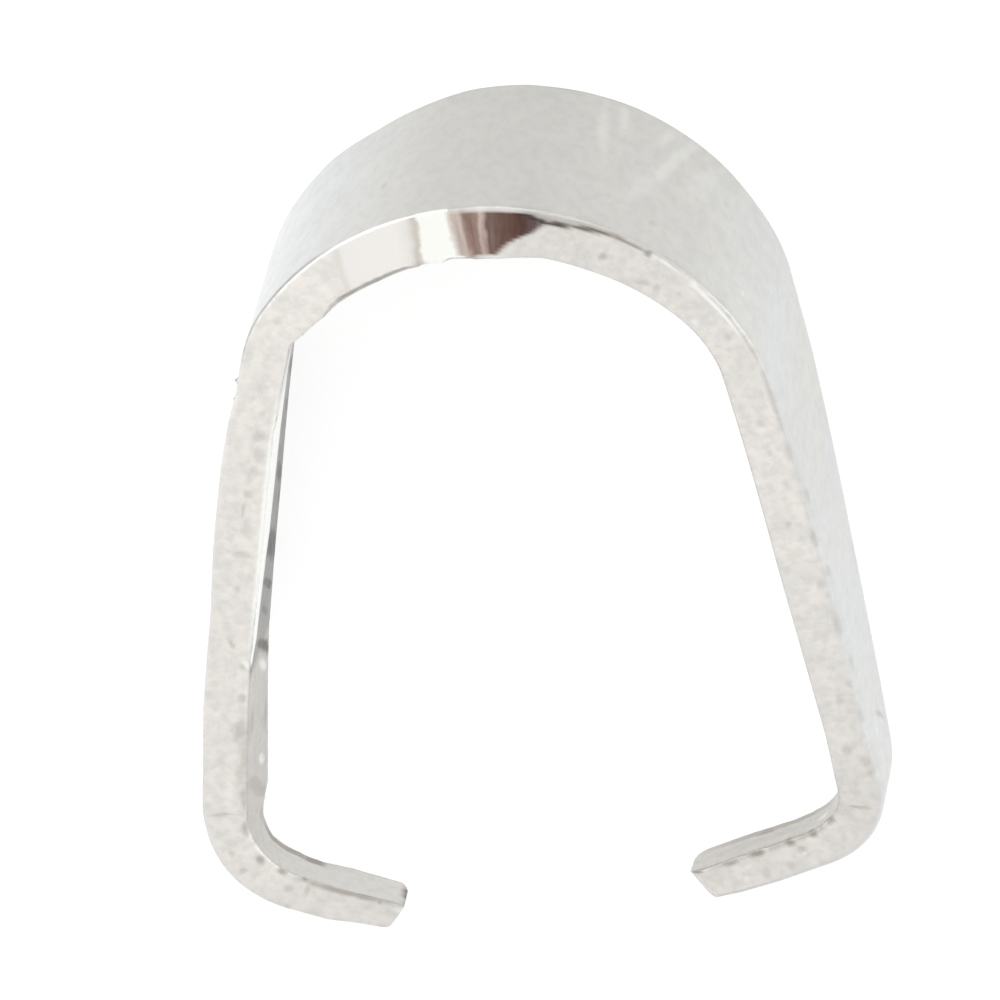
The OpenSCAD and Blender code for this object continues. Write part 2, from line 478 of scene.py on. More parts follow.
class BentStrip:
    """The finished strip: the blank bent along the middle line, worn and laid on its rear edge."""

    # Width of the edge strips that keep their width wherever the band narrows
    MARGIN = 0.12
    # How far the whole skin lies below the solid's
    INSET = 0.001
    # Length over which the slanted tips are drawn out
    TIP_LENGTH = 0.6

    def __init__(self, sizes: BailSizes, wear: Wear, film: ToneAndPaintedLight, burnish_and_reflection: Burnish,
                 marks: tuple[Mark, ...]) -> None:
        """Keep what the strip is made from.

        Args:
            sizes: Driving sizes.
            wear: Edges and roughness.
            film: Lightness of each face: the plating, with painted reflections and painted shade.
            burnish_and_reflection: The rubbed stretch on the crown, its colours partly a painted
                reflection.
            marks: Single pits, staining, painted shade and painted highlights.
        """
        self.sizes, self.wear, self.film, self.burnish_and_reflection, self.marks = sizes, wear, film, burnish_and_reflection, marks
        self.line = MiddleLine(sizes)
        self.slope = (sizes.crown_w - sizes.foot_w) / 2 / self.line.height
        self.lean = math.atan(self.slope)

    def build(self) -> bpy.types.Object:
        """Make the strip.

        Returns:
            The strip as an object at the origin, in metres, with its paint attributes.
        """
        grid = Blank(self.line.length).mesh()
        grid.verts.index_update()
        flat = np.array([vert.co for vert in grid.verts])
        mesh = bpy.data.meshes.new("bail_strip")
        grid.to_mesh(mesh)
        grid.free()
        paint = Paint(flat, self)
        places = self._bend(flat, paint)
        mesh.vertices.foreach_set("co", (places * METRES).astype(np.float32).ravel())
        mesh.polygons.foreach_set("use_smooth", [True] * len(mesh.polygons))
        paint.store(mesh)
        mesh.update()
        strip = bpy.data.objects.new("bail_strip", mesh)
        bpy.context.scene.collection.objects.link(strip)
        return strip

    def half_width(self, along: np.ndarray, z: np.ndarray) -> np.ndarray:
        """Return half the width of the strip.

        Args:
            along: Distances from the left prong's tip.
            z: Heights above the lower prong's foot.

        Returns:
            The straight taper of the blank, narrowed over the bends to the prongs' own width.
        """
        taper = self.sizes.foot_w / 2 + self.slope * z
        left_end = self.sizes.prong_left
        left_start = left_end + self.sizes.arc(self.sizes.bend_left_r, self.sizes.bend_turn)
        right_end = self.line.length - self.sizes.prong_right
        right_start = right_end - self.sizes.arc(self.sizes.bend_right_r, self.sizes.bend_turn)
        leg = smooth(along, left_end, left_start) * smooth(-along, -right_end, -right_start)
        return np.minimum(taper, self.sizes.prong_w / 2 + (taper - self.sizes.prong_w / 2) * leg)

    def _bend(self, flat: np.ndarray, paint: "Paint") -> np.ndarray:
        """Bend the blank, with its worn edges.

        Args:
            flat: Places on the blank.
            paint: Pits and raised spots of each place.

        Returns:
            Places on the bail as it lies, in millimetres.
        """
        wear, length = self.wear, self.line.length
        along, across, through = flat.T
        share = through / Blank.THICKNESS + 0.5
        tip = np.minimum(along, length - along)
        at_tip = 1.0 - smooth(tip, 0.0, self.TIP_LENGTH)
        left = along < length / 2
        reach = np.where(left, blend(*wear.left_reach, share), blend(*wear.right_reach, share))
        cut_back = (self.sizes.tip_cut * share - reach) * at_tip
        place = np.where(left, along + cut_back, along - cut_back)
        _, z, heading, thick = self.line.at(place)
        rear = across / Blank.WIDTH + 0.5
        low = -thick / 2 - blend(wear.inner_front.at(place), wear.inner_rear.at(place), rear)
        high = thick / 2 + blend(wear.outer_front.at(place), wear.outer_rear.at(place), rear)
        whole = high - low
        to_inner = whole * share

        middle_z = z + (high + low) / 2 * np.cos(heading)
        half = self.half_width(place, middle_z)
        blank_half = Blank.WIDTH / 2
        edge = blank_half - np.abs(across)
        inside = (half - self.MARGIN) * np.abs(across) / (blank_half - self.MARGIN)
        edge = np.where(edge < self.MARGIN, edge, half - inside)
        front = across < 0
        cut = np.where(front, wear.front_inner_cut.at(place), wear.rear_roll)
        roll = np.where(front, wear.front_outer_roll.at(place), wear.rear_roll)
        edge, to_inner = chamfer(edge, to_inner, cut)
        edge, to_outer = rounded(edge, whole - to_inner, roll)
        tip_gap, to_outer = rounded(tip, to_outer, np.full(len(tip), wear.tip_round_outer))
        tip_gap, to_inner = rounded(tip_gap, whole - to_outer, np.full(len(tip), wear.tip_round_inner))
        at_left = np.where(front, *wear.left_corners)
        at_right = np.where(front, *wear.right_corners)
        tip_gap, edge = rounded(tip_gap, edge, np.where(left, at_left, at_right))
        place = np.where(left, place + tip_gap - tip, place - tip_gap + tip)
        x, z, heading, _ = self.line.at(place)

        edge = edge + paint.sunk_edge
        off = low + to_inner
        off = np.where(share < 0.5, off + paint.sunk_face, off - paint.sunk_face)
        x = x - off * np.sin(heading)
        z = z + off * np.cos(heading)
        half = self.half_width(place, z)
        y = np.where(front, -1.0, 1.0) * np.maximum(half - edge, 0.0)
        return self.lay_down(x, y, z)

    def lay_down(self, x: np.ndarray, y: np.ndarray, z: np.ndarray) -> np.ndarray:
        """Turn the upright bail onto its rear cut edge, with its middle over the origin.

        Args:
            x: Places to the right.
            y: Places behind the upright middle plane.
            z: Heights above the lower prong's foot.

        Returns:
            One row of x, y and z for each place.
        """
        sine, cosine = math.sin(self.lean), math.cos(self.lean)
        rise = (self.sizes.crown_w - self.sizes.foot_w) / 2
        middle = (rise * sine + self.line.height * cosine) / 2
        foot = self.sizes.foot_w / 2 * cosine
        return np.column_stack([x, y * sine + z * cosine - middle, foot - y * cosine + z * sine])


def smooth(value: np.ndarray, low: float, high: float) -> np.ndarray:
    """Return a smooth step from 0 at low to 1 at high."""
    share = np.clip((value - low) / (high - low), 0.0, 1.0)
    return share * share * (3.0 - 2.0 * share)


def blend(one: np.ndarray, other: np.ndarray, share: np.ndarray) -> np.ndarray:
    """Return a straight mix of two rows, with the given share of the other one."""
    return one + (other - one) * share


def chamfer(one: np.ndarray, other: np.ndarray, cut: np.ndarray) -> tuple[np.ndarray, np.ndarray]:
    """Push places that are in a corner back to a flat cut across it.

    Args:
        one: Distances from one face of the corner.
        other: Distances from the other face.
        cut: Size of the chamfer on both faces.

    Returns:
        The two distances after the cut.
    """
    back = np.maximum(cut - one - other, 0.0) / 2
    return one + back, other + back


def rounded(one: np.ndarray, other: np.ndarray, radius: np.ndarray) -> tuple[np.ndarray, np.ndarray]:
    """Push places that are in a corner back to a round edge.

    Args:
        one: Distances from one face of the corner.
        other: Distances from the other face.
        radius: Radius of the edge.

    Returns:
        The two distances after the rounding.
    """
    a, b = np.maximum(radius - one, 0.0), np.maximum(radius - other, 0.0)
    reach = np.hypot(a, b)
    pull = np.where(reach > radius, radius / np.maximum(reach, TINY), 1.0)
    return np.where(a > 0, radius - a * pull, one), np.where(b > 0, radius - b * pull, other)


def ripples(places: np.ndarray, scale: float, seed: float) -> np.ndarray:
    """Return smooth noise from -1 to 1 at each place.

    Args:
        places: Places on the blank.
        scale: Waves in each millimetre.
        seed: Shift that makes one noise unlike another.

    Returns:
        One value for each place.
    """
    return np.array([noise.noise(Vector(place)) for place in places * scale + seed])


class Paint:
    """What each vertex carries: its depth, how smooth its metal is, and how light or dark it is painted,
    painted highlights, reflections and shade included.
    """

    NAMES = ("torn", "tone", "tarnish_and_shade", "shine", "burnish_and_reflection", "band")
    # Waves in each millimetre, and the shift, of each noise
    BLOTCHES = (11.0, 5.1)
    WAVES = (2.2, 3.7)
    GRAIN = (9.0, 11.3)
    FINE = (19.0, 27.1)
    # Radius from which a rolled edge looks like the outer face, and the shares of it where that fades
    ROLLED = 0.04
    ROLL_FADE = (0.4, 0.9)
    # Half width of the painted highlight's soft border
    HIGHLIGHT_SOFT = 0.10
    # Shares of the two grains in the pits, the level at which a pit starts, and its rise to the deepest
    PIT_SHARES = (0.55, 0.45)
    PIT_START, PIT_SPAN = 0.45, 0.4
    # How much of the waves and of the grain the broad faces have, and what torn places add
    BROAD_WAVES, BROAD_GRAIN, TORN_GRAIN = 0.4, 0.1, 0.5
    # How uneven a mark's outline is, on the faces with many marks and on the others
    UNEVEN = (0.55, 0.25)
    # Where a mark's rim starts and ends, as shares of its half sizes
    RIM = (0.4, 1.35)

    def __init__(self, flat: np.ndarray, strip: BentStrip) -> None:
        """Work out the paint.

        Args:
            flat: Places on the blank.
            strip: The strip that they belong to.
        """
        self.strip = strip
        along, across, through = flat.T
        _, z, _, self.thick = strip.line.at(along)
        self.level = 2 * through / Blank.THICKNESS
        self.side = 2 * across / Blank.WIDTH
        self.edge = Blank.WIDTH / 2 - np.abs(across)
        skin = Blank.THICKNESS / 2 - np.abs(through)
        self.cut = 1.0 - smooth(self.edge, 0.0, Blank.EDGE_BREAK)
        self.broad = 1.0 - smooth(skin, 0.0, Blank.EDGE_BREAK)
        rolled = strip.wear.front_outer_roll.at(along)
        from_outer = (1.0 - self.level) * self.thick / 2
        flat_share = smooth(from_outer, self.ROLL_FADE[0] * rolled, self.ROLL_FADE[1] * rolled)
        self.cut = np.where((self.side < 0) & (rolled > self.ROLLED), self.cut * flat_share, self.cut)
        half = strip.half_width(along, z)
        self.local = np.column_stack([along, self.side * half, through * self.thick / Blank.THICKNESS])
        self.tone = self._tone(strip.film, along)
        self.tarnish_and_shade = np.zeros(len(flat))
        # Painted highlight: a bright strip along the front of the left leg's inner face.
        below = self._on(Face.INNER)
        highlight_margin = strip.film.inner_highlight_reach.at(along) - self.side
        painted_highlight = smooth(highlight_margin, -self.HIGHLIGHT_SOFT, self.HIGHLIGHT_SOFT)
        self.shine = strip.film.inner_highlight_strength.at(along) * below * painted_highlight
        self.torn = np.maximum(self.cut, below * strip.film.inner_torn.at(along))
        self.band = strip.burnish_and_reflection.shifted(along, self.level)
        self.burnish_and_reflection = strip.burnish_and_reflection.cover(self.band, along, self.level) * self.cut * (self.side < 0)
        self.blotches = ripples(self.local, *self.BLOTCHES)
        self.sunk_edge = np.zeros(len(flat))
        self.sunk_face = np.full(len(flat), strip.INSET)
        self._roughen()
        for mark in strip.marks:
            self._add(mark)

    def _tone(self, film: ToneAndPaintedLight, along: np.ndarray) -> np.ndarray:
        """Read how light the metal is, painted reflections and painted shade included.

        Args:
            film: Lightness of each face.
            along: Distances from the left prong's tip.

        Returns:
            The lightness of each vertex.
        """
        broad = np.where(self.level > 0, film.outer.at(along), film.inner.at(along))
        cut = np.where(self.side < 0, film.front.at(along), film.rear)
        return blend(broad, cut, self.cut)

    def _roughen(self) -> None:
        """Give the cut edges their torn grain and the broad faces their slight waves."""
        wear = self.strip.wear
        waves, grain, fine = (
            (1.0 + ripples(self.local, *kind)) / 2 for kind in (self.WAVES, self.GRAIN, self.FINE)
        )
        pitted = self.PIT_SHARES[0] * grain + self.PIT_SHARES[1] * fine
        torn = np.clip((pitted - self.PIT_START) / self.PIT_SPAN, 0.0, 1.0)
        rough = 1.0 - self.burnish_and_reflection
        self.sunk_edge += self.cut * rough * (wear.waves * waves + wear.grain * fine + wear.pits * torn**2)
        grainy = self.BROAD_GRAIN + self.TORN_GRAIN * self.torn
        self.sunk_face += wear.waves * grain * self.BROAD_WAVES + wear.grain * grainy * fine

    def _on(self, face: Face) -> np.ndarray:
        """Find the vertices on a face.

        Args:
            face: The face or corner.

        Returns:
            How far each vertex is on it, from 0 to 1.
        """
        at_front, near = self.side < 0, self.edge < Blank.EDGE_BREAK
        if face is Face.FRONT:
            return self.cut * at_front
        beside = self.level > 0 if face in (Face.OUTER, Face.FRONT_OUTER) else self.level < 0
        if face in (Face.FRONT_INNER, Face.FRONT_OUTER):
            return np.minimum(self.cut + self.broad + near, 1.0) * at_front * np.maximum(beside, near)
        return self.broad * beside * (1.0 - self.cut)

    def _across(self, mark: Mark) -> np.ndarray:
        """Measure across a mark's face.

        Args:
            mark: The mark.

        Returns:
            Each vertex's distance from the mark's middle.
        """
        if mark.face is Face.FRONT:
            return (self.level - mark.place) * self.thick / 2
        if mark.face is Face.FRONT_INNER:
            return (1.0 + self.level) * self.thick / 2 - self.edge - mark.place
        if mark.face is Face.FRONT_OUTER:
            return (1.0 - self.level) * self.thick / 2 - self.edge - mark.place
        middle = np.array([mark.along])
        _, z, _, _ = self.strip.line.at(middle)
        half = self.strip.half_width(middle, z)
        from_front = (self.side + 1.0) * half
        near = self.edge < BentStrip.MARGIN
        from_front = np.where(near & (self.side < 0), self.edge, from_front)
        return from_front - (mark.place + 1.0) * half

    def _add(self, mark: Mark) -> None:
        """Paint one mark, with a soft rim.

        Args:
            mark: The mark.
        """
        along, across = self.local[:, 0] - mark.along, self._across(mark)
        tilt = math.radians(mark.tilt)
        u = (along * math.cos(tilt) + across * math.sin(tilt)) / mark.half_along
        v = (across * math.cos(tilt) - along * math.sin(tilt)) / mark.half_across
        uneven = self.UNEVEN[0 if mark.face in (Face.FRONT, Face.OUTER) else 1] * self.blotches
        inside = (1.0 - smooth(np.hypot(u, v) + uneven, *self.RIM)) * self._on(mark.face)
        self.tarnish_and_shade = np.maximum(self.tarnish_and_shade, inside * mark.tarnish_and_shade)
        self.shine = np.maximum(self.shine, inside * mark.shine)
        if mark.face in (Face.OUTER, Face.INNER):
            self.sunk_face += inside * mark.depth
        else:
            self.sunk_edge += inside * mark.depth

    def store(self, mesh: bpy.types.Mesh) -> None:
        """Write the attributes that the finish reads.

        Args:
            mesh: The strip's mesh.
        """
        blank = mesh.attributes.new("blank", "FLOAT_VECTOR", "POINT")
        blank.data.foreach_set("vector", self.local.astype(np.float32).ravel())
        for name in self.NAMES:
            values = getattr(self, name).astype(np.float32)
            mesh.attributes.new(name, "FLOAT", "POINT").data.foreach_set("value", values)


class Nodes:
    """Short calls that add and link the nodes of one material or world."""

    # The colour sockets of a Mix node: its two inputs and its output
    MIX_A, MIX_B, MIX_RESULT = 6, 7, 2

    def __init__(self, tree: bpy.types.NodeTree) -> None:
        """Empty the tree that the nodes go into."""
        self.tree = tree
        tree.nodes.clear()

    def add(self, kind: str, inputs: dict | None = None, **settings: object) -> bpy.types.Node:
        """Add a node.

        Args:
            kind: The node's type name.
            inputs: Input name or number to a plain value or to another node's output.
            **settings: Properties of the node itself.

        Returns:
            The node.
        """
        node = self.tree.nodes.new(kind)
        for name, value in settings.items():
            setattr(node, name, value)
        for name, value in (inputs or {}).items():
            if isinstance(value, bpy.types.NodeSocket):
                self.tree.links.new(value, node.inputs[name])
            else:
                node.inputs[name].default_value = value
        return node

    def attribute(self, name: str, output: str = "Fac") -> bpy.types.NodeSocket:
        """Return an attribute of the mesh."""
        return self.add("ShaderNodeAttribute", attribute_name=name).outputs[output]

    def math(self, operation: str, a: object, b: object = 0.0, clamp: bool = False) -> bpy.types.NodeSocket:
        """Return the result of a sum on two numbers."""
        return self.add("ShaderNodeMath", {0: a, 1: b}, operation=operation, use_clamp=clamp).outputs[0]

    def ramp(self, value: object, low: float, high: float, to_low: object = 0.0,
             to_high: object = 1.0, soft: bool = True) -> bpy.types.NodeSocket:
        """Move a number from one range to another, and hold it at its ends.

        Args:
            value: The number.
            low: Start of the first range.
            high: End of the first range.
            to_low: Start of the second range.
            to_high: End of the second range.
            soft: Whether the move starts and ends gently.

        Returns:
            The moved number.
        """
        kind = "SMOOTHSTEP" if soft else "LINEAR"
        inputs = {"Value": value, "From Min": low, "From Max": high, "To Min": to_low, "To Max": to_high}
        return self.add("ShaderNodeMapRange", inputs, interpolation_type=kind).outputs["Result"]

    def noise(self, vector: object, scale: float, detail: float = 2.0,
              rough: float = 0.5) -> bpy.types.NodeSocket:
        """Return noise on a vector."""
        inputs = {"Vector": vector, "Scale": scale, "Detail": detail, "Roughness": rough}
        return self.add("ShaderNodeTexNoise", inputs).outputs["Fac"]

    def times(self, vector: object, factors: tuple[float, float, float]) -> bpy.types.NodeSocket:
        """Return a vector stretched along its axes."""
        return self.add("ShaderNodeVectorMath", {0: vector, 1: factors}, operation="MULTIPLY").outputs[0]

    def grey(self, value: object) -> bpy.types.NodeSocket:
        """Return a number as a grey colour."""
        return self.add("ShaderNodeCombineColor", {0: value, 1: value, 2: value}).outputs[0]

    def mix(self, factor: object, a: object, b: object, blend: str = "MIX") -> bpy.types.NodeSocket:
        """Mix two colours.

        Args:
            factor: Share of the second colour.
            a: The first colour.
            b: The second colour.
            blend: Name of the way in which the second goes over the first.

        Returns:
            The mixed colour.
        """
        inputs = {0: factor, self.MIX_A: a, self.MIX_B: b}
        node = self.add("ShaderNodeMix", inputs, data_type="RGBA", blend_type=blend)
        return node.outputs[self.MIX_RESULT]


Colour = tuple[float, float, float, float]


def colour(red: float, green: float, blue: float) -> Colour:
    """Return a linear colour with full alpha."""
    return (red, green, blue, 1.0)


@dataclass(frozen=True)
class SilverPlate:
    """The worn silver plating: satin on the broad faces, grainy on the cut edges. Its colours also carry
    painted highlights, painted reflections and painted shade.
    """

    cool_reflection_tint: Colour = colour(0.98, 1.0, 0.995)
    plate_warm: Colour = colour(1.01, 1.0, 0.955)
    edge_warm: Colour = colour(1.024, 1.0, 0.952)
    edge_pink: Colour = colour(1.034, 0.993, 0.945)
    # Colours of staining and grime, which also paint shade in creases and the dark strip on the left leg's
    # inner face
    stain_and_shade: Colour = colour(0.42, 0.395, 0.36)
    grime_and_shade: Colour = colour(0.05, 0.043, 0.038)
    # Colour of painted highlights
    painted_highlight: Colour = colour(0.99, 1.0, 0.96)
    # Darkness from which staining and painted shade turn to the darkest colour
    grime_and_shade_from: float = 0.5
    # Colours across the burnished stretch, by distance along the strip. The near-white ones from 10.21 to
    # 10.50 are a painted highlight; the brown to near-black ones from 10.54 on are tarnishing with a
    # painted dark reflection.
    bands: tuple[tuple[float, tuple[float, float, float]], ...] = (
        (9.20, (0.82, 0.80, 0.76)), (9.24, (0.76, 0.74, 0.69)), (9.28, (0.79, 0.77, 0.72)),
        (9.33, (0.88, 0.86, 0.83)), (9.60, (0.90, 0.875, 0.84)), (9.93, (0.90, 0.875, 0.84)),
        (10.06, (0.84, 0.82, 0.78)), (10.11, (0.75, 0.72, 0.67)), (10.14, (0.64, 0.61, 0.55)),
        (10.17, (0.67, 0.64, 0.58)), (10.21, (0.99, 0.99, 0.94)), (10.50, (1.0, 1.0, 0.96)),
        (10.54, (0.76, 0.72, 0.66)), (10.58, (0.58, 0.50, 0.45)), (10.65, (0.54, 0.45, 0.40)),
        (10.69, (0.31, 0.22, 0.19)), (10.73, (0.28, 0.18, 0.15)), (10.79, (0.34, 0.24, 0.21)),
        (10.83, (0.54, 0.43, 0.39)), (10.86, (0.47, 0.37, 0.33)), (10.90, (0.20, 0.135, 0.115)),
        (10.97, (0.21, 0.14, 0.12)), (11.03, (0.16, 0.10, 0.08)), (11.14, (0.14, 0.08, 0.065)),
        (11.22, (0.11, 0.06, 0.048)), (11.32, (0.13, 0.085, 0.075)), (11.42, (0.16, 0.125, 0.13)),
        (11.55, (0.34, 0.31, 0.30)),
    )
    # Noise on the blank: scale, detail and roughness of the large clouds, the patches and the grain
    clouds: tuple[float, float, float] = (1.3, 3.0, 0.5)
    patches: tuple[float, float, float] = (5.0, 3.0, 0.55)
    grain: tuple[float, float, float] = (11.0, 2.0, 0.5)
    # Parts of the noise over which the patches and streaks, the pink cast and the specks come in
    patch_range: tuple[float, float] = (0.3, 0.7)
    pink_range: tuple[float, float] = (0.38, 0.62)
    speck_range: tuple[float, float] = (0.3, 0.62)
    # How far the patches and the grain are drawn out along, across and through the strip
    draw: tuple[float, float, float] = (1.0, 0.6, 1.0)
    # How much the clouds swing the tint, and the lightness at which it turns from warm to cool.
    # The cool tint follows the painted lightness, so painted reflections such as the left shoulder's turn
    # bluish.
    cloud_swing: float = 0.2
    cool_from: tuple[float, float] = (0.60, 0.74)
    # Darkest and lightest patch, darkest speck on the broad faces and on the torn ones, lightest speck
    patch_light: tuple[float, float] = (0.966, 1.028)
    speck_dark: tuple[float, float] = (0.968, 0.94)
    speck_light: float = 1.02
    # Roughness of the broad faces and of the torn ones, and what patches, burnish and shine change
    rough: tuple[float, float] = (0.42, 0.50)
    rough_patch: tuple[float, float] = (-0.03, 0.05)
    burnish_smooths: float = 0.22
    shine_smooths: float = 0.15
    # Height of the fine relief, in millimetres, and how much the faces, patches and burnish take of it
    relief: float = 0.010
    relief_share: tuple[float, float] = (0.3, 1.0)
    patch_relief: float = 0.5
    burnish_flattens: float = 0.9
    # Wobble of the burnished bands, in millimetres, and the streaks across the brown ones
    wobble: float = 0.10
    wobble_scale: float = 7.0
    streak_draw: tuple[float, float, float] = (26.0, 1.5, 3.0)
    streak_from: tuple[float, float] = (10.5, 10.65)
    streak_swing: float = 0.14

    def material(self) -> bpy.types.Material:
        """Make the finish.

        Returns:
            The finish as a material.
        """
        made = bpy.data.materials.new("silver_plate")
        made.use_nodes = True
        n = Nodes(made.node_tree)
        blank = n.attribute("blank", "Vector")
        torn, tone, tarnish_and_shade, shine, burnish_and_reflection, band = (n.attribute(name) for name in Paint.NAMES)

        clouds = n.noise(blank, *self.clouds)
        wide = n.times(blank, self.draw)
        patches, grain = n.noise(wide, *self.patches), n.noise(wide, *self.grain)
        cloudy = n.math("MULTIPLY", n.math("SUBTRACT", clouds, NOISE_MEAN), self.cloud_swing)
        # Bluish tint of painted reflections where the painted lightness is high, swung by the clouds.
        cool = n.ramp(n.math("ADD", tone, cloudy), *self.cool_from)
        plate = n.mix(cool, self.plate_warm, self.cool_reflection_tint)
        edge = n.mix(n.ramp(patches, *self.pink_range), self.edge_warm, self.edge_pink)
        # The painted lightness, with its reflections and shade, scales the metal's colour.
        light = n.math("MULTIPLY", tone, n.ramp(patches, *self.patch_range, *self.patch_light))
        darkest = n.ramp(torn, 0.0, 1.0, *self.speck_dark, soft=False)
        light = n.math("MULTIPLY", light, n.ramp(grain, *self.speck_range, darkest, self.speck_light))
        metal = n.mix(1.0, n.mix(torn, plate, edge), n.grey(light), "MULTIPLY")
        # The burnished stretch takes its colours: a painted highlight, and tarnishing with a painted dark
        # reflection.
        metal = n.mix(burnish_and_reflection, metal, self._burnish_and_reflection_colours(n, blank, band))
        # Staining and painted shade darken the metal, the strongest to the darkest colour.
        stain_and_shade_share = n.ramp(tarnish_and_shade, 0.0, self.grime_and_shade_from, soft=False)
        metal = n.mix(stain_and_shade_share, metal, self.stain_and_shade, "DARKEN")
        grime_and_shade_share = n.ramp(tarnish_and_shade, self.grime_and_shade_from, 1.0, soft=False)
        metal = n.mix(grime_and_shade_share, metal, self.grime_and_shade, "DARKEN")
        # Painted highlights turn the metal near white.
        metal = n.mix(shine, metal, self.painted_highlight)

        roughness = n.ramp(torn, 0.0, 1.0, *self.rough, soft=False)
        roughness = n.math("ADD", roughness, n.ramp(patches, *self.patch_range, *self.rough_patch))
        roughness = n.math("SUBTRACT", roughness, n.math("MULTIPLY", burnish_and_reflection, self.burnish_smooths))
        roughness = n.math("SUBTRACT", roughness, n.math("MULTIPLY", shine, self.shine_smooths), clamp=True)
        relief = n.math("MULTIPLY", grain, n.ramp(torn, 0.0, 1.0, *self.relief_share, soft=False))
        relief = n.math("ADD", relief, n.math("MULTIPLY", patches, self.patch_relief))
        kept = n.math("SUBTRACT", 1.0, n.math("MULTIPLY", burnish_and_reflection, self.burnish_flattens))
        relief = n.math("MULTIPLY", relief, kept)
        height = self.relief * METRES
        bump = n.add("ShaderNodeBump", {"Height": relief, "Distance": height, "Strength": 1.0})
        shader = n.add("ShaderNodeBsdfPrincipled", {
            "Base Color": metal, "Metallic": 1.0, "Roughness": roughness, "Normal": bump.outputs[0],
        })
        n.add("ShaderNodeOutputMaterial", {"Surface": shader.outputs[0]})
        return made

    def _burnish_and_reflection_colours(self, n: Nodes, blank: bpy.types.NodeSocket,
                   band: bpy.types.NodeSocket) -> bpy.types.NodeSocket:
        """Return the colours of the burnished stretch, its painted highlight and painted dark reflection
        included.

        Args:
            n: The material's nodes.
            blank: Places on the flat blank.
            band: Distance along the strip, shifted by the slant of the bands.

        Returns:
            The colour.
        """
        wavy = n.math("SUBTRACT", n.noise(blank, self.wobble_scale, 3.0), NOISE_MEAN)
        wobble = n.math("MULTIPLY", wavy, self.wobble)
        start, end = self.bands[0][0], self.bands[-1][0]
        share = n.ramp(n.math("ADD", band, wobble), start, end, soft=False)
        node = n.add("ShaderNodeValToRGB", {0: share})
        stops = node.color_ramp.elements
        for index, (along, shade) in enumerate(self.bands):
            stop = stops[index] if index < len(stops) else stops.new(1.0)
            stop.position = (along - start) / (end - start)
            stop.color = colour(*shade)
        strength = n.ramp(band, *self.streak_from, 0.0, self.streak_swing)
        drawn = n.noise(n.times(blank, self.streak_draw), 1.0)
        swing = n.ramp(drawn, *self.patch_range, -1.0, 1.0)
        streak = n.math("ADD", 1.0, n.math("MULTIPLY", swing, strength))
        return n.mix(1.0, node.outputs[0], n.grey(streak), "MULTIPLY")


@dataclass(frozen=True)
class SoftBox:
    """One soft light that points at the bail.

    Args:
        name: Its name in the scene.
        place: Where it hangs, in metres.
        size: Diameter of its round screen, in metres.
        power: Its power in watts.
    """

    name: str
    place: tuple[float, float, float]
    size: float
    power: float

    def build(self) -> bpy.types.Object:
        """Hang the light, aimed at the origin. It doesn't show itself to the camera.

        Returns:
            The light's object.
        """
        lamp = bpy.data.lights.new(self.name, "AREA")
        lamp.shape, lamp.size, lamp.energy = "DISK", self.size, self.power
        made = bpy.data.objects.new(self.name, lamp)
        made.location = self.place
        made.rotation_euler = (-Vector(self.place)).to_track_quat("-Z", "Y").to_euler()
        made.visible_camera = False
        bpy.context.scene.collection.objects.link(made)
        return made


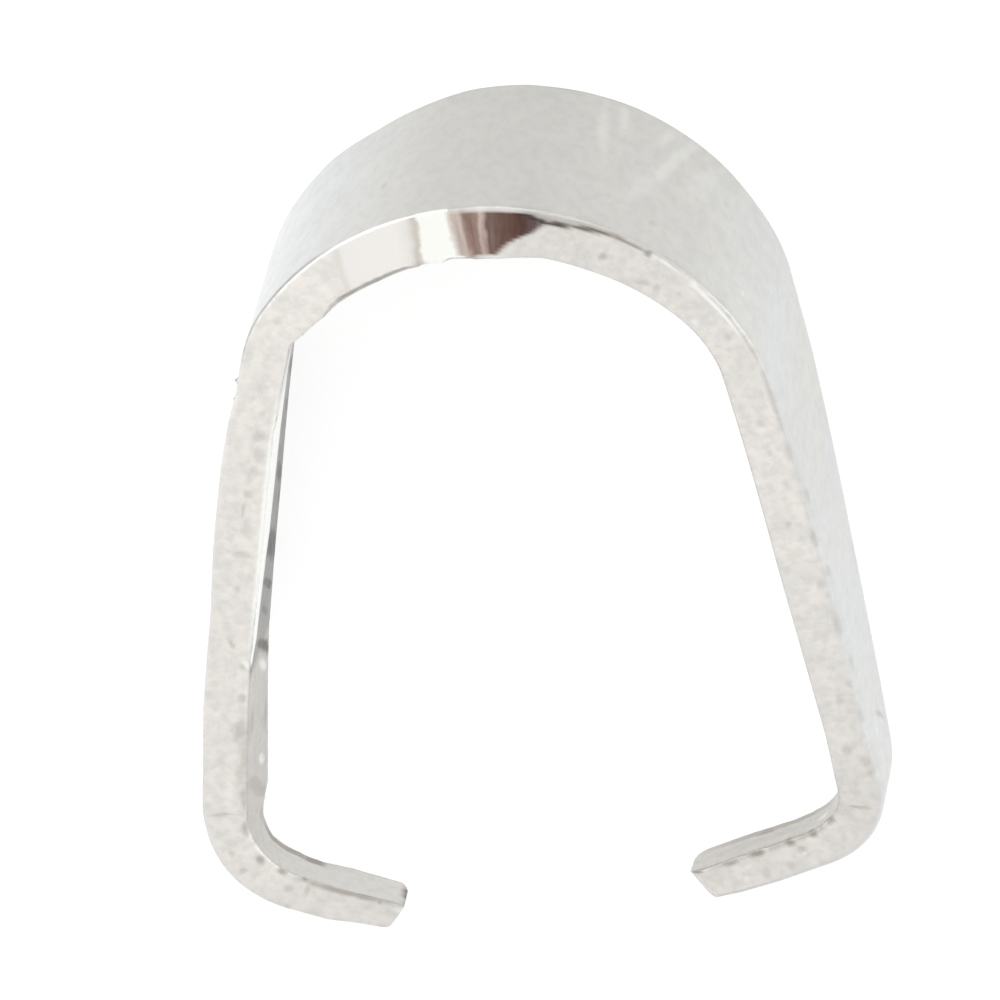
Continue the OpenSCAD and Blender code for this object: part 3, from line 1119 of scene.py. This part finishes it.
@dataclass
class Studio:
    """A white floor, a soft bright sky and the camera at the photograph's angle."""

    # Camera above the upright bail: height angle, and swing to the right
    elevation: float = 27.0
    swing: float = 6.356
    distance: float = 0.300
    sensor: float = 36.0
    clip: tuple[float, float] = (0.01, 2.0)
    # Width and height of the picture in pixels
    picture: float = 1000.0
    # Pixels in a millimetre at the bail, and the pixel of the aim, which is on the upright middle plane
    scale: float = 98.6
    aim_pixel: tuple[float, float] = (547.4, 540.1)
    aim_height: float = 4.443
    floor_size: float = 0.6
    # Light of the room, and whiteness and glow of the paper
    sky: float = 0.97
    paper: float = 0.28
    paper_glow: float = 0.785
    lights: list[SoftBox] = field(default_factory=lambda: [
        SoftBox("left_box", (-0.15, 0.03, 0.16), 0.14, 0.10),
        SoftBox("right_box", (0.17, -0.02, 0.14), 0.12, 0.05),
        SoftBox("back_box", (0.02, 0.16, 0.15), 0.08, 0.04),
    ])

    def build(self, strip: BentStrip) -> None:
        """Set the floor, the sky, the lights and the camera.

        Args:
            strip: The strip that the camera looks at.
        """
        self._floor()
        self._sky()
        for light in self.lights:
            light.build()
        self._camera(strip)
        bpy.context.scene.view_settings.view_transform = "Standard"

    def _floor(self) -> None:
        """Lay the plain white floor, a sheet of paper that also glows a little."""
        grid = bmesh.new()
        bmesh.ops.create_grid(grid, x_segments=1, y_segments=1, size=self.floor_size / 2)
        mesh = bpy.data.meshes.new("floor")
        grid.to_mesh(mesh)
        grid.free()
        floor = bpy.data.objects.new("floor", mesh)
        bpy.context.scene.collection.objects.link(floor)
        paper = bpy.data.materials.new("white_paper")
        paper.use_nodes = True
        n = Nodes(paper.node_tree)
        shader = n.add("ShaderNodeBsdfPrincipled", {
            "Base Color": colour(self.paper, self.paper, self.paper), "Roughness": 1.0,
            "Specular IOR Level": 0.0, "Emission Color": colour(1.0, 1.0, 1.0),
            "Emission Strength": self.paper_glow,
        })
        n.add("ShaderNodeOutputMaterial", {"Surface": shader.outputs[0]})
        mesh.materials.append(paper)

    def _sky(self) -> None:
        """Fill the room with even white light."""
        world = bpy.data.worlds.new("studio")
        bpy.context.scene.world = world
        world.use_nodes = True
        n = Nodes(world.node_tree)
        sky = n.add("ShaderNodeBackground", {"Color": colour(1, 1, 1), "Strength": self.sky})
        n.add("ShaderNodeOutputWorld", {"Surface": sky.outputs[0]})

    def _camera(self, strip: BentStrip) -> None:
        """Place the camera as it stood to the bail in the photograph.

        Args:
            strip: The strip that the camera looks at.
        """
        rise, swing = math.radians(self.elevation), math.radians(self.swing)
        lay = Matrix.Rotation(strip.lean - math.pi / 2, 3, "X")
        back = lay @ Vector((math.sin(swing) * math.cos(rise), -math.cos(swing) * math.cos(rise),
                             math.sin(rise)))
        up = lay @ Vector((-math.sin(swing) * math.sin(rise), math.cos(swing) * math.sin(rise),
                           math.cos(rise)))
        right = lay @ Vector((math.cos(swing), math.sin(swing), 0.0))
        aim = strip.lay_down(np.array([0.0]), np.array([0.0]), np.array([self.aim_height]))[0]
        middle = self.picture / 2
        aside = (middle - self.aim_pixel[0]) / self.scale
        above = (self.aim_pixel[1] - middle) / self.scale
        aim = (Vector(aim) + right * aside + up * above) * METRES
        lens = bpy.data.cameras.new("camera")
        lens.sensor_width = self.sensor
        frame_width = self.picture / self.scale * METRES
        lens.lens = self.sensor * self.distance / frame_width
        lens.clip_start, lens.clip_end = self.clip
        camera = bpy.data.objects.new("camera", lens)
        turned = Matrix((right, up, back)).transposed().to_4x4()
        camera.matrix_world = Matrix.Translation(aim + back * self.distance) @ turned
        bpy.context.scene.collection.objects.link(camera)
        bpy.context.scene.camera = camera


# Pits and staining, and painted shade: dark lines in creases and grooves, and the dark strip on the left
# leg's inner face. Columns: along, place, half_along, half_across, tarnish, depth, tilt
STAINS_AND_SHADE = {
    Face.FRONT: (
        (0.89, -0.38, 0.03, 0.07, 0.2, 0.01), (1.02, 0.88, 0.04, 0.03, 0.2, 0.01),
        (1.08, -0.12, 0.05, 0.05, 0.2, 0.01), (1.55, 0.43, 0.04, 0.04, 0.2, 0.01),
        (1.77, 0.35, 0.05, 0.03, 0.16, 0.01), (2.24, 0.20, 0.02, 0.16, 0.26, 0.01, 6.0),
        (3.29, -0.32, 0.05, 0.05, 0.16, 0.012), (4.09, -0.65, 0.05, 0.04, 0.22, 0.01),
        (4.36, -0.02, 0.08, 0.025, 0.24, 0.015, 40.0), (5.02, -0.10, 0.05, 0.04, 0.16, 0.01),
        (5.20, -0.58, 0.07, 0.05, 0.13, 0.01), (5.45, -0.18, 0.05, 0.09, 0.18, 0.012),
        (5.75, -0.34, 0.11, 0.06, 0.11, 0.01, 12.0), (6.00, -0.05, 0.08, 0.02, 0.18, 0.01),
        (6.21, -0.26, 0.06, 0.06, 0.18, 0.012), (6.44, -0.28, 0.13, 0.04, 0.11, 0.01, -10.0),
        (6.61, -0.05, 0.04, 0.03, 0.14), (6.71, -0.42, 0.12, 0.05, 0.12, 0.01, 8.0),
        (6.92, -0.38, 0.08, 0.07, 0.15, 0.012), (7.21, -0.40, 0.05, 0.04, 0.14, 0.01),
        (7.37, 0.23, 0.04, 0.04, 0.1, 0.01), (7.50, -0.02, 0.05, 0.05, 0.12, 0.01),
        (8.35, 0.25, 0.07, 0.04, 0.12), (11.75, 0.2, 0.05, 0.05, 0.12, 0.008),
        (12.11, -0.25, 0.05, 0.04, 0.30, 0.012), (12.62, -0.57, 0.11, 0.03, 0.2, 0.01, 20.0),
        (12.78, -0.40, 0.04, 0.04, 0.2, 0.01), (13.00, -0.10, 0.04, 0.03, 0.14),
        (13.7, 0.1, 0.06, 0.04, 0.12, 0.008), (14.77, -0.07, 0.05, 0.04, 0.15, 0.01),
        (15.13, -0.04, 0.05, 0.03, 0.12, 0.01), (15.55, 0.35, 0.08, 0.04, 0.09, 0.0, 20.0),
        (16.0, -0.13, 0.04, 0.04, 0.16, 0.012), (16.78, 0.53, 0.06, 0.05, 0.18, 0.01),
        (16.90, 0.80, 0.04, 0.04, 0.16, 0.01), (17.45, 0.1, 0.09, 0.04, 0.09, 0.0, -15.0),
        (18.00, 0.72, 0.06, 0.05, 0.15, 0.01), (18.20, 0.03, 0.06, 0.05, 0.15, 0.01),
        (18.79, -0.20, 0.065, 0.06, 0.18, 0.012), (18.96, 0.50, 0.07, 0.055, 0.15, 0.01),
        (19.10, 0.65, 0.06, 0.05, 0.15, 0.01), (19.53, 0.02, 0.02, 0.13, 0.26, 0.01, 8.0),
        (20.45, -0.25, 0.05, 0.04, 0.2, 0.012), (20.62, 0.50, 0.04, 0.05, 0.16, 0.012),
        (20.89, 0.30, 0.05, 0.05, 0.16, 0.012),
    ),
    Face.OUTER: (
        (7.33, -1.0, 0.022, 0.05, 0.2, -0.022), (7.54, -1.0, 0.025, 0.05, 0.2, -0.036),
        (8.37, -0.72, 0.025, 0.04, 0.2), (9.26, -0.02, 0.02, 0.03, 0.14), (9.64, 0.15, 0.02, 0.03, 0.14),
        (9.79, 0.12, 0.025, 0.04, 0.22, 0.006), (9.80, -0.23, 0.025, 0.04, 0.22, 0.006),
        (12.44, -0.60, 0.03, 0.04, 0.2), (13.13, 0.48, 0.03, 0.04, 0.12),
        (13.40, -0.35, 0.03, 0.04, 0.14), (16.45, -0.62, 0.03, 0.07, 0.2),
        (18.78, 0.35, 0.035, 0.32, 0.26, 0.0, -29.0),
    ),
    Face.INNER: (
        (-0.02, 0.25, 0.09, 0.3, 0.75), (0.90, 0.95, 0.14, 0.035, 0.6), (1.35, 0.95, 0.55, 0.025, 0.5),
        (1.90, 0.70, 0.10, 0.12, 0.3), (2.25, 0.5, 0.08, 0.30, 0.25, 0.0, 27.0),
        (2.45, -0.2, 0.09, 0.40, 0.22, 0.0, 27.0), (3.10, 0.85, 0.20, 0.10, 0.3, 0.0, 10.0),
        # From 3.96 to 6.90: painted dark reflection, the uneven dark strip on the left leg's inner face.
        (3.30, -0.7, 0.20, 0.12, 0.3, 0.0, 10.0), (3.96, 0.3, 0.09, 0.8, 0.85, 0.0, 27.0),
        (4.38, 0.2, 0.07, 0.6, 0.7, 0.0, 27.0), (4.66, 0.3, 0.08, 0.8, 0.9, 0.0, 27.0),
        (5.13, 0.25, 0.21, 1.2, 1.0, 0.0, 27.0), (5.45, 0.8, 0.12, 0.30, 0.7, 0.0, 27.0),
        (5.86, 0.45, 0.13, 0.60, 0.95, 0.0, 27.0), (6.52, 0.65, 0.10, 0.45, 0.75, 0.0, 27.0),
        (6.90, 0.75, 0.14, 0.45, 0.85, 0.0, 27.0), (20.7, 0.95, 0.7, 0.03, 0.35),
        (20.81, 0.85, 0.12, 0.05, 0.5), (20.9, -0.1, 0.55, 0.16, 0.10),
    ),
    Face.FRONT_INNER: (
        # 0.22 to 1.54: painted shade in the groove along the left prong's corner. 9.5 and 10.62: painted
        #               shade in the chamfer below the rubbed stretch. 20.75: painted shade that dulls the
        #               chamfer's highlight.
        (0.22, 0.02, 0.03, 0.035, 0.5, 0.01), (0.50, 0.005, 0.52, 0.042, 0.52, 0.008, 1.0),
        (0.94, 0.0, 0.05, 0.03, 0.6, 0.012), (1.23, 0.02, 0.08, 0.042, 0.45, 0.012),
        (1.54, 0.07, 0.075, 0.045, 0.42, 0.012), (2.03, 0.04, 0.12, 0.05, 0.3, 0.01),
        (2.45, 0.03, 0.18, 0.05, 0.26, 0.01), (2.72, 0.06, 0.12, 0.06, 0.19, 0.01, 10.0),
        (3.00, 0.03, 0.45, 0.06, 0.19, 0.01), (3.32, 0.08, 0.16, 0.07, 0.22, 0.01, -12.0),
        (3.69, 0.07, 0.06, 0.05, 0.22, 0.01), (9.5, 0.0, 0.66, 0.07, 0.6), (10.62, 0.0, 0.25, 0.05, 0.4),
        (19.94, 0.0, 0.09, 0.06, 0.45, 0.02), (20.25, 0.01, 0.07, 0.060, 0.6, 0.015),
        (20.51, 0.015, 0.06, 0.055, 0.6, 0.012), (20.75, 0.005, 1.1, 0.036, 0.42),
        (20.88, 0.015, 0.11, 0.048, 0.62, 0.01), (21.14, 0.02, 0.09, 0.048, 0.52, 0.01),
        (21.46, 0.0, 0.10, 0.035, 0.6, 0.01),
    ),
    Face.FRONT_OUTER: (
        # Painted shade along the crease between the front and outer faces; the broad light rows at 11.60
        # and 13.3 darken the rolled edge to hide its highlight.
        (8.05, -0.06, 0.32, 0.065, 0.42), (8.55, -0.05, 0.70, 0.045, 0.42),
        (10.20, 0.0, 1.10, 0.020, 0.06), (11.30, 0.08, 0.20, 0.03, 0.95, 0.0, 8.0),
        (11.56, 0.12, 0.22, 0.035, 0.95, 0.0, -5.0), (11.60, 0.03, 0.62, 0.07, 0.2),
        (11.90, 0.075, 0.30, 0.028, 0.85, 0.0, -7.0), (12.25, 0.055, 0.22, 0.022, 0.6),
        (12.49, 0.06, 0.04, 0.04, 0.5, 0.01), (13.3, 0.02, 0.9, 0.035, 0.12),
        (13.9, 0.04, 0.25, 0.018, 0.28), (14.5, 0.03, 0.42, 0.035, 0.20), (15.15, 0.04, 0.12, 0.05, 0.17),
        (15.5, 0.02, 0.6, 0.03, 0.07), (15.72, -0.03, 0.10, 0.06, 0.15), (16.22, 0.05, 0.11, 0.05, 0.18),
        (16.62, -0.02, 0.07, 0.05, 0.15), (17.25, 0.04, 0.14, 0.05, 0.16),
        (17.75, -0.03, 0.08, 0.06, 0.15), (18.4, 0.03, 0.12, 0.05, 0.13),
    ),
}

# Painted highlights: bright lines along edges and bevels, glints, and sheen on scratches. Columns: along,
# place, half_along, half_across, shine, tilt
PAINTED_HIGHLIGHTS = {
    Face.FRONT: (
        (0.04, -0.6, 0.05, 0.04, 0.3, 0.0), (10.52, -0.9, 0.10, 0.04, 0.8, 0.0),
        (10.93, -0.95, 0.28, 0.03, 0.3, 0.0), (13.35, -0.60, 0.05, 0.03, 0.5, 0.0),
    ),
    Face.OUTER: (
        (10.72, 0.65, 0.02, 0.03, 0.25, 0.0), (11.78, 0.50, 0.06, 0.50, 0.14, 4.0),
        (11.95, 0.72, 0.05, 0.30, 0.15, 3.0), (12.25, -0.15, 0.09, 0.40, 0.10, -14.0),
        (12.39, 0.80, 0.05, 0.25, 0.14, -10.0), (12.52, 0.50, 0.07, 0.80, 0.16, -14.0),
        (12.85, 0.45, 0.12, 0.55, 0.10, -14.0), (13.57, -0.55, 0.03, 0.04, 0.3, 0.0),
        (18.79, -0.38, 0.04, 0.06, 0.3, 0.0),
    ),
    Face.INNER: (
        (2.65, 0.4, 0.06, 0.15, 0.45, 27.0), (3.70, 0.43, 0.06, 0.3, 0.5, 27.0),
        (20.07, -0.30, 0.10, 0.08, 0.35, 0.0),
    ),
    Face.FRONT_INNER: (
        # Painted highlight: the bright bevel strip along the left leg's corner.
        (4.12, 0.05, 0.07, 0.035, 0.7, 35.0), (5.9, 0.01, 1.6, 0.045, 0.8, 0.0),
        (7.1, -0.035, 0.50, 0.045, 0.85, 0.0),
    ),
    Face.FRONT_OUTER: (
        # Painted highlights: bright lines along the crown's rolled outer corner.
        (10.92, 0.025, 0.34, 0.028, 0.5, 0.0), (12.70, 0.065, 0.16, 0.015, 0.75, 0.0),
        (13.28, 0.075, 0.42, 0.020, 0.95, 1.5),
    ),
}


def all_marks() -> tuple[Mark, ...]:
    """Read both tables of marks.

    Returns:
        The pits, staining and painted shade, then the painted highlights and scratches.
    """
    dark_marks = [Mark(face, *row) for face, rows in STAINS_AND_SHADE.items() for row in rows]
    shines = [
        Mark(face, along, place, half_along, half_across, tilt=tilt, shine=shine)
        for face, rows in PAINTED_HIGHLIGHTS.items()
        for along, place, half_along, half_across, shine, tilt in rows
    ]
    return tuple(dark_marks + shines)


def main() -> None:
    """Build the bail and its studio."""
    logging.basicConfig(level=logging.INFO, format="%(name)s: %(message)s")
    strip = BentStrip(BailSizes(), Wear(), ToneAndPaintedLight(), Burnish(), all_marks())
    bail = strip.build()
    bail.data.materials.append(SilverPlate().material())
    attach(bail, "root")
    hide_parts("bail")
    LOG.info("bail_strip: %d faces", len(bail.data.polygons))
    Studio().build(strip)


if __name__ == "__main__":
    main()
